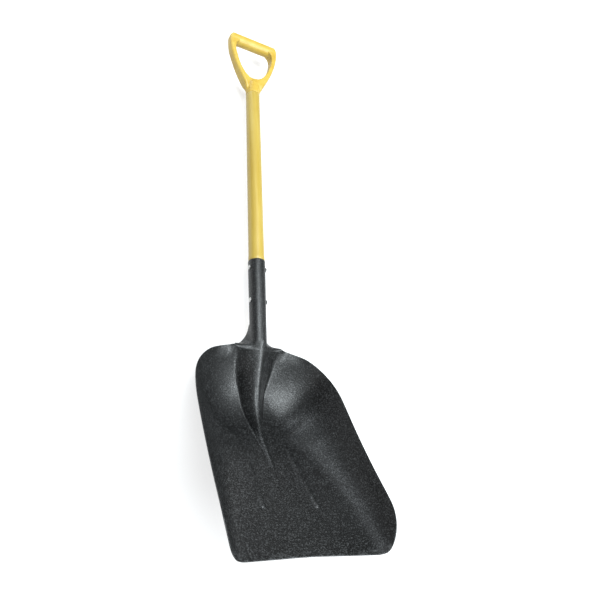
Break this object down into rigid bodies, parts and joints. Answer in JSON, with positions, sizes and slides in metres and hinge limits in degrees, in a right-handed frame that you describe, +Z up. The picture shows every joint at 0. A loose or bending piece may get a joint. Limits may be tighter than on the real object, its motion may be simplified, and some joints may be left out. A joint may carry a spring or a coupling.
{
  "type": "snow shovel",
  "caption": "Short-handled scoop shovel for snow: a deep black pressed steel scoop with an integral rolled socket, a round yellow shaft riveted into it and a moulded D grip.",
  "frame": {"origin": "under the middle of the tool's overall length and width, on the plane that its lowest point touches while it lies on its back with the shaft level", "axes": "+Y along the shaft from the scoop towards the grip, +Z up, the scoop's open side up, +X across the scoop to the right of someone holding the grip and looking along the shaft at the scoop from its open side"},
  "size_m": [0.2764, 1.1394, 0.2101],
  "materials": {
    "black_powder_coat": "fine-textured black powder coat on pressed steel sheet",
    "yellow_tube": "smooth golden-yellow fibreglass tube, satin gloss",
    "yellow_grip": "moulded golden-yellow plastic, satin",
    "dowel_wood": "plain turned dowel",
    "rivet_steel": "plain bright zinc-plated steel"
  },
  "bodies": {
    "root": {"scoop_blade": "black_powder_coat", "handle_shaft": "yellow_tube", "shaft_core_plug": "dowel_wood", "d_grip": "yellow_grip", "upper_socket_rivet": "rivet_steel", "lower_socket_rivet": "rivet_steel"}
  },
  "joints": []
}
